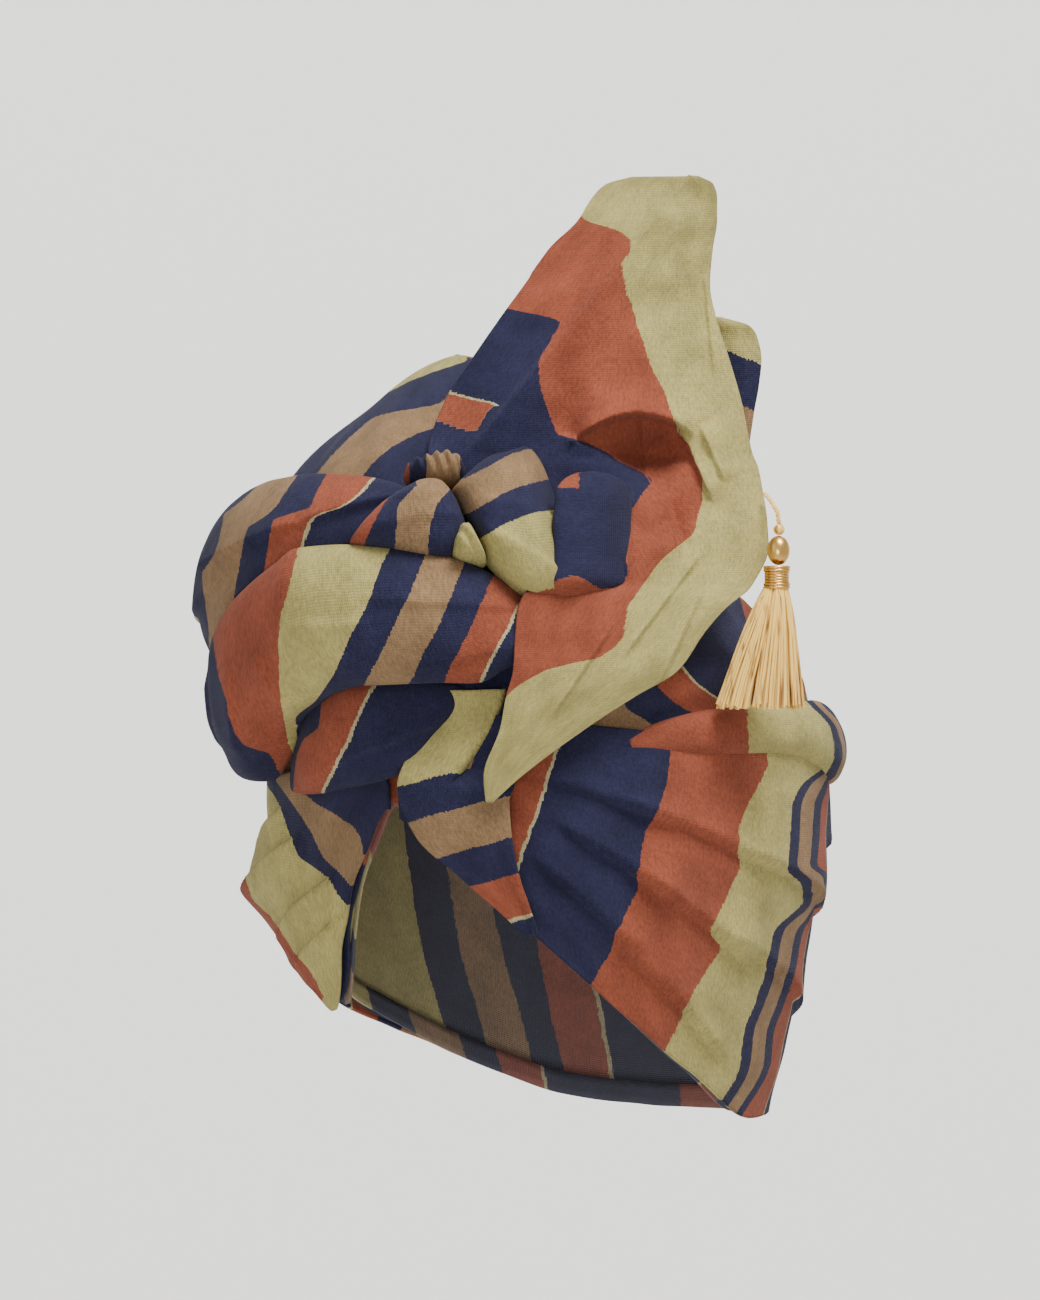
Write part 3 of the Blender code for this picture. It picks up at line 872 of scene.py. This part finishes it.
pinched = {"folds": (), "drop": 1.0, "gathers": 1.8, "soft": ((1.2, 4, 1.5),), "closing": 4}
pinchFold = {
    "bearing": (21, 22.5, 24, 25.5, 28),
    "top": (-70.5, -68, -65.3, -64.3, -73),
    "bottom": (-73.7, -74.3, -75, -75.6, -77),
    "swell": (22, 24.5, 26, 25, 22),
    **pinched,
    "steps": (60, 50),
}
crumpledFold = {
    "bearing": (9, 13, 17, 21, 25, 28),
    "top": (-44.5, -43.6, -42.2, -41.4, -42, -43.5),
    "bottom": (-48, -48.5, -49.5, -50, -49.5, -48),
    "swell": (13, 16, 17, 18, 17, 14),
    **pinched,
    "steps": (80, 50),
}
bandLine = {"right": (-40, -21, -6, 9, 20), "up": (-60, -53.5, -45.5, -41.5, -41)}


def centreStripe(right, up):
    return stripeStart["tan"] + (up - readTable(bandLine, "right", right, "up")) * 1.15


def foldStripe(right, up):
    return stripeSeen(leftFoldStripes, right, up)


def sageStripe(right, up):
    return 14.0


def crumpledStripe(right, up):
    return stripeStart["secondNavy"] - (right + 37) * (2.2 if right < -37 else 1.2)


makeRoll("knotCentreCloth", knotCentre, None, ["knot_centre"], centreStripe)
makeRoll("knotLeftFold", leftFold, None, ["roll_upper"], foldStripe)
makeRoll("knotPinchFold", pinchFold, None, ["knot_centre"], sageStripe)
makeRoll("knotCrumpledFold", crumpledFold, None, ["roll_upper"], crumpledStripe)

knotRoll = {
    "middle": 22.0,
    "halfWidth": 14.0,
    "top": -39.5,
    "bottom": -98.0,
    "frontTop": 105.0,
    "frontBottom": 116.0,
    "lean": 0.85,
    "depth": 7.5,
}


def knotRollStripe(right, up):
    # Wide navy with terracotta under it, and a little terracotta at the top of its left edge
    edge = -78.5 + 2.0 * bell(right, 15, 4) - 2.5 * smooth((right - 18) / 8)
    start = stripeStart["wideTerracotta"]
    if up > -60:
        return start + (up + 45.5) * 1.4 if right < 17.5 else 112.0
    return start + (edge - up)


def makeKnotRoll():
    # The upright fold where the fan leaves the knot
    def place(across, along):
        turn = along * 2 * math.pi
        close = max(0.0, 1 - abs(2 * across - 1) ** 7) ** 0.5
        up = mix(knotRoll["bottom"], knotRoll["top"], across)
        soft = 0.8 * wrinkle(turn * 4, up, 9, 6.0)
        out = (knotRoll["halfWidth"] * close + soft) * math.cos(turn)
        right = knotRoll["middle"] + out
        sink = 15 * smooth((-77 - up) / 14)
        front = mix(knotRoll["frontBottom"], knotRoll["frontTop"], across) - knotRoll["lean"] * out - sink
        return fromFanSide(right, front + (knotRoll["depth"] * close + soft) * math.sin(turn), up)

    points = gridPoints(fine(80), fine(80), place)
    piece = makeCloth("knotRollCloth", points, stripesFrom(knotRollStripe, points), ["knot_roll"], 0)


makeKnotRoll()


def tailStripe(right, up):
    return stripeStart["navy"] + ((-152 - up) + 0.28 * (right + 46.5)) * 0.96


def makeKnotTail():
    def place(across, along):
        up = mix(knotTail["up"][0], knotTail["up"][-1], along)
        bearing = mix(*readColumns(knotTail, "up", up, "first", "last"), across)
        tuck = 5 * smooth((up + 150) / 26)
        dent = 5 * smooth((across - 0.52 - 0.01 * (up + 140)) / 0.05) * smooth((up + 152) / 8)
        edge = 1.4 * smooth((across - 0.75) / 0.25)
        soft = 0.5 * wrinkle(bearing * perDegree, up, 8, 4.0)
        return overCrown(bearing, up, 8.6 - tuck - dent + edge + soft)

    points = gridPoints(fine(60), fine(130), place)
    tail = makeCloth("knotTailCloth", points, stripesFrom(tailStripe, points), ["knot_tail"],
                     thickness["plain"])


makeKnotTail()
print("knot")


# Fan: the gathered end of the cloth with its pale border, and the layer behind its edge
fan = {
    "up": (-156, -147, -130, -119, -110, -96, -88, -83, -79, -66, -56, -46, -38, -33, -14,
           0, 16, 27, 40, 50, 58, 63, 65.5),
    "left": (-15.5, -16, -10.5, -8.5, -6, -5, -4, -2, 0, -4, -14, -26, -36, -36, -30,
             -21, -10, -2, 7, 17, 22, 27, 36),
    "right": (-13, -3, 20, 37, 52, 62, 69, 75, 79, 84.5, 84, 82.5, 81, 79, 75,
              71, 66, 64, 65, 66.5, 66.5, 65, 60),
    "frontLeft": (126, 127, 128, 128, 128, 128, 127, 126, 120, 110, 104, 99, 97, 96, 94,
                  93, 91, 88, 85, 82, 80, 78, 76),
    "frontMid": (126, 126, 125, 124, 121, 117, 113, 109, 103, 98, 94, 90, 88, 86, 84,
                 82, 80, 79, 77, 76, 75, 75, 75),
    "frontRight": (126, 125, 119, 113, 106, 101, 97, 93, 89, 84, 80, 77, 75, 73, 71,
                   69, 67, 66, 66, 67, 68, 70, 72),
    # start right, start up, end right, end up, rise, softness
    "folds": (
        (-26, -38, 40, 44, 2.5, 14), (66, -52, 50, -16, 4.5, 9), (8, -25, 46, -44, 5.0, 16),
        (45, -42, 54, -70, 4.5, 9), (42, -44, 39.5, -18, 2.5, 8), (36, -44, 34, -80, 2.5, 10),
        (62, -66, 30, -108, 2.5, 10), (70, -44, 60, -22, 3.0, 7), (50, 60, 52, 20, 2.0, 12),
        (66, -8, 62, 34, 2.0, 8), (30, -92, 6, -128, 2.0, 9), (62, -78, 44, -118, 2.0, 8),
    ),
    # The crease that the left panel turns away from, as start and end, and how steeply it turns
    "crease": (-24, -36, 38, 42),
    "turnedAway": 0.6,
    "lip": (60, -18.5, 12, -18.5, 10.0, 14),
    "lipArch": 9.0,
    "plainBelow": -17.0,
    "patchBottom": -25.5,
    "sageShown": 27.0,
    "navySpot": 100.0,
}
fanStripes = {
    "up": (65, 50.5, 45, 39, 34, 23.5, 18.5, 13.5, 7.5, -2, -11.5, -13, -14.5, -16, -20, -21.5,
           -23.5, -26, -29, -31, -33, -35.5, -42.5, -48.5, -54.5, -60.5, -70, -75.5, -79, -81.5,
           -88, -97, -105, -107.5, -110, -119, -142),
    # These four only show in a patch at the left, and lie off the cloth above and below it
    "secondNavy": (-70,) * 10 + (-60, -55, -50, -46, -44, -43) + (-44,) * 5 + (-60,) * 16,
    "terracotta": (-60,) * 10 + (-50, -45, -42, -38, -34, -32.5, -27, -21, -21, -21.5, -22.5)
    + (-55,) * 16,
    "line": (-51,) * 9 + (-45, -29.5, -23.5, -17.5, -11.5, -14.5, -15.5, -17, -18.5, -20, -21, -22)
    + (-50,) * 16,
    "wideNavy": (-50,) * 9 + (-41, -24.5, -18.5, -13, -10.5, -14.4, -15.4, -16.9, -18.4, -19.9,
                              -20.9, -21.9) + (-48,) * 16,
    "wideTerracotta": (-36, -32.5, -31.5, -31, -30, -29, -8.5, 11, 8, 3, 4, 4.5, 5, 5.5, 7, 7.5,
                       8.5, 9.5, 19, 24, 28, 31.5, 43.5, 39.5, 35, 33.5, 34, 34.5, 30.5, 3.5)
    + (-21.5,) * 7,
    "nextSage": (11, 20.5, 35, 37.5, 34, 36.5, 37.5, 38.5, 40.5, 44, 48.5, 49, 49.5, 50.5, 52, 52.5,
                 53.5, 54, 56.5, 57.5, 58.2, 59, 61.5, 61.5, 60, 58.5, 47.5, 43, 40.5, 39, 36, 34,
                 26, 14.5, 5.5, -8, -21.5),
}
backFold = {
    "up": (-30, -17, -9, 1, 9, 13, 16),
    "left": (67, 62, 60, 59, 60, 61, 65),
    "right": (78, 80, 81.5, 82.5, 81, 78, 68),
    "front": (62, 60, 58, 57, 57, 58, 59),
}


def turnedPanel(x, up):
    startX, startUp, endX, endUp = fan["crease"]
    runX, runUp = endX - startX, endUp - startUp
    away = (runX * (up - startUp) - runUp * (x - startX)) / math.hypot(runX, runUp)
    return fan["turnedAway"] * min(22.0, max(0.0, away)) * smooth((up + 40) / 14)


def fanStripe(right, up):
    spot = min(repeat + fan["sageShown"], stripeSeen(fanStripes, right, up))
    if up > fan["plainBelow"]:
        return spot
    least = stripeStart["line"] - 1 if up > fan["patchBottom"] else 0
    if spot < stripeStart["terracotta"] or least < spot < fan["navySpot"]:
        return fan["navySpot"]
    return spot


def backStripe(right, up):
    return stripeStart["navy"] + (3 - up - 0.45 * (right - 70)) * 0.75


def makeFan():
    def place(across, along):
        up = mix(fan["up"][0], fan["up"][-1], along)
        x = mix(*readColumns(fan, "up", up, "left", "right"), across)
        near, half, far = readColumns(fan, "up", up, "frontLeft", "frontMid", "frontRight")
        bow = (half - (near + far) / 2) * 4 * across * (1 - across)
        pocket = 16 * bell(up, -33, 9) * bell(x, 42, 13) + 6 * bell(up, -58, 9) * bell(x, 50, 5)
        arch = fan["lipArch"] * ((x - 38) / 22) ** 2
        lip = creaseLift(x, up + arch, fan["lip"], 1.2)
        relief = creases(x, up, fan["folds"]) + lip - pocket - turnedPanel(x, up)
        soft = 1.2 * wrinkle(x, up, 20, 2.0) + 0.5 * wrinkle(x, up, 8, 3.0)
        return fromFanSide(x, mix(near, far, across) + bow + relief + soft, up)

    points = gridPoints(fine(170), fine(260), place)
    piece = makeCloth("fanCloth", points, stripesFrom(fanStripe, points), ["fan"], thickness["plain"])

    def placeFold(across, along):
        up = mix(backFold["up"][0], backFold["up"][-1], along)
        left, right, front = readColumns(backFold, "up", up, "left", "right", "front")
        front += 0.8 * wrinkle(across * 30, up, 10, 1.0) - 5 * across
        return fromFanSide(mix(left, right, across), front, up)

    points = gridPoints(40, 80, placeFold)
    fold = makeCloth("fanBackCloth", points, stripesFrom(backStripe, points), ["fan_back_fold"],
                     thickness["plain"])


makeFan()
print("fan")


# Tassel: places seen from the fan's bearing, as right, front and up in millimetres
tassel = {
    "front": 92.0,
    "bead": (87.8, -67.4, 8.0, 10.4),
    "knot": (88.0, -60.0, 4.0),
    "collar": (87.2, -72.9, 4.3, 8.0),
    "skirtTop": (86.8, -80.6, 3.9),
    "skirtBottom": (80.8, -123.6, 16.2),
    "cordRoute": ((83.0, 80.9, -47.0), (85.4, 85.0, -50.0), (87.6, 89.5, -54.0),
                  (88.0, 92.0, -58.4)),
    "ringRadius": 0.62,
    "cordRadius": 0.9,
    "strands": 230,
    "strandRadius": 0.45,
}


def makeTube(name, routes, radius, material, nodes):
    curve = bpy.data.curves.new(name, "CURVE")
    curve.dimensions = "3D"
    curve.bevel_depth = radius * mm
    curve.bevel_resolution = 1
    curve.use_fill_caps = True
    for route in routes:
        spline = curve.splines.new("POLY")
        spline.points.add(len(route) - 1)
        for point, spot in zip(spline.points, route):
            point.co = (*spot, 1.0)
    curve.materials.append(material)
    dress(addObject(name, curve), nodes)


def twist(route, radius, turns, phase, count):
    # One ply of a cord, wound round a route
    points = [Vector(spot) for spot in route]
    ply = []
    for i in range(count + 1):
        spot = i / count * (len(points) - 1)
        index = min(int(spot), len(points) - 2)
        centre = points[index].lerp(points[index + 1], spot - index)
        angle = phase + turns * 2 * math.pi * i / count
        right, front, up = centre
        ply.append(fromFanSide(right + radius * math.cos(angle), front + radius * math.sin(angle), up))
    return ply


def makeBall(name, right, up, width, height, material, nodes):
    ball = bmesh.new()
    bmesh.ops.create_uvsphere(ball, u_segments=48, v_segments=24, radius=0.5)
    place = fromFanSide(right, tassel["front"], up)
    for vert in ball.verts:
        vert.co = place + Vector((vert.co.x * width, vert.co.y * width, vert.co.z * height)) * mm
    dress(addMesh(name, ball, material), nodes)


def makeTassel():
    radius = tassel["cordRadius"]
    plies = [twist(tassel["cordRoute"], radius * 0.5, 4, phase, 60) for phase in (0, math.pi)]
    makeTube("tasselCordPlies", plies, radius * 0.55, goldThread, ["tassel_cord"])
    right, up, width = tassel["knot"]
    makeBall("tasselKnotThread", right, up, width, width, goldThread, ["tassel_knot"])
    right, up, width, height = tassel["bead"]
    makeBall("tasselBeadMetal", right, up, width, height, goldMetal, ["tassel_bead"])

    right, top, radius, height = tassel["collar"]
    front = tassel["front"]
    rings = []
    for turn in range(8):
        level = top - 0.5 - turn * (height - 1.0) / 7
        size = radius * (0.9 if 1 < turn < 6 else 0.98)
        angles = [i / 32 * 2 * math.pi for i in range(33)]
        rings.append([fromFanSide(right + size * math.cos(angle), front + size * math.sin(angle), level)
                      for angle in angles])
    makeTube("tasselCollarRings", rings, tassel["ringRadius"], goldMetal, ["tassel_collar"])

    rng = random.Random(7)
    strands = []
    (topRight, topUp, topRadius), (endRight, endUp, endRadius) = tassel["skirtTop"], tassel["skirtBottom"]
    for strand in range(tassel["strands"]):
        angle = rng.uniform(0, 2 * math.pi)
        depth = math.sqrt(rng.uniform(0.25, 1.0))
        sway = rng.uniform(-0.9, 0.9)
        end = rng.uniform(0, 2.2)
        route = []
        for i in range(13):
            drop = i / 12
            out = mix(topRadius, endRadius, drop ** 0.8) * depth
            flat = mix(1.0, 0.55, drop)
            bend = sway * math.sin(drop * 5 + angle * 3)
            right = mix(topRight, endRight, drop) + out * math.cos(angle) + bend * 0.5
            route.append(fromFanSide(right, front + out * flat * math.sin(angle),
                                     mix(topUp, endUp + end, drop)))
        strands.append(route)
    makeTube("tasselStrands", strands, tassel["strandRadius"], goldThread, ["tassel_skirt"])


makeTassel()
print("tassel")


stage = {
    "floorUp": -1.3,
    "floorRadius": 6.6,
    "curve": 2.0,
    "wallHeight": 2.6,
    "flatShare": 0.3,
    "wallShare": 0.3,
}
camera = {
    "target": (10.7, 33.7, -102.6),
    "distance": 5.0,
    "frameHeight": 0.468,
    "sensor": 24.0,
}
# Bearing from the camera's, lift, distance in metres, size in metres, power in watts
lights = {
    "key": (32, 58, 1.7, 0.7, 42),
    "fill": (-50, 15, 1.9, 1.5, 4),
    "back": (175, 55, 1.8, 1.4, 10),
    "inside": (-6, -8, 1.9, 0.5, 8.5),
    "backdrop": (0, 25, 6.0, 1.0, 420),
}
skyStrength = 0.6


def makeStage():
    # A round pale floor that curves up into a low wall all the way round, open to the sky above
    def place(across, along):
        angle = across * 2 * math.pi
        flat, wall = stage["flatShare"], stage["wallShare"]
        bend = min(1.0, max(0.0, (along - flat) / (1 - flat - wall))) * math.pi / 2
        out = stage["floorRadius"] * min(1.0, along / flat) + stage["curve"] * math.sin(bend)
        up = stage["curve"] * (1 - math.cos(bend))
        up += stage["wallHeight"] * max(0.0, (along - 1 + wall) / wall)
        return Vector((out * math.cos(angle), out * math.sin(angle), stage["floorUp"] + up))

    columns, rows = 96, 40
    points = gridPoints(columns, rows, place)
    bowl = bmesh.new()
    bmesh.ops.create_grid(bowl, x_segments=columns, y_segments=rows, size=1)
    for vert in bowl.verts:
        vert.co = points[round((vert.co.y + 1) / 2 * rows)][round((vert.co.x + 1) / 2 * columns)]
    bmesh.ops.remove_doubles(bowl, verts=bowl.verts, dist=0.0001)
    # Uncoated paper: matt, so that it takes only a soft shadow
    paper = newMaterial("palePaper", {"Base Color": linear(colours["floor"]), "Roughness": 0.95})[0]
    backdrop = addMesh("backdrop", bowl, paper)


def addLight(name, target):
    bearing, lift, distance, size, power = lights[name]
    data = bpy.data.lights.new(name, "AREA")
    data.size = size
    data.energy = power
    light = addObject(name, data)
    turn, rise = math.radians(viewBearing + bearing), math.radians(lift)
    away = Vector((math.sin(turn) * math.cos(rise), -math.cos(turn) * math.cos(rise), math.sin(rise)))
    light.location = target + away * distance
    light.rotation_euler = (-away).to_track_quat("-Z", "Y").to_euler()


def makeView():
    target = Vector(camera["target"]) * mm
    data = bpy.data.cameras.new("camera")
    data.sensor_fit = "VERTICAL"
    data.sensor_height = camera["sensor"]
    data.lens = camera["sensor"] * camera["distance"] / camera["frameHeight"]
    data.clip_end = 50
    eye = addObject("camera", data)
    turn = math.radians(viewBearing)
    away = Vector((math.sin(turn), -math.cos(turn), 0))
    eye.location = target + away * camera["distance"]
    eye.rotation_euler = (-away).to_track_quat("-Z", "Y").to_euler()
    bpy.context.scene.camera = eye
    for name in ("key", "fill", "back", "inside"):
        addLight(name, target)
    addLight("backdrop", target - away * (stage["floorRadius"] + 1.5))
    world = bpy.data.worlds.new("studio")
    world.use_nodes = True
    world.node_tree.nodes["Background"].inputs["Color"].default_value = (1, 1, 1, 1)
    world.node_tree.nodes["Background"].inputs["Strength"].default_value = skyStrength
    bpy.context.scene.world = world


makeStage()
makeView()
print("stage and light")
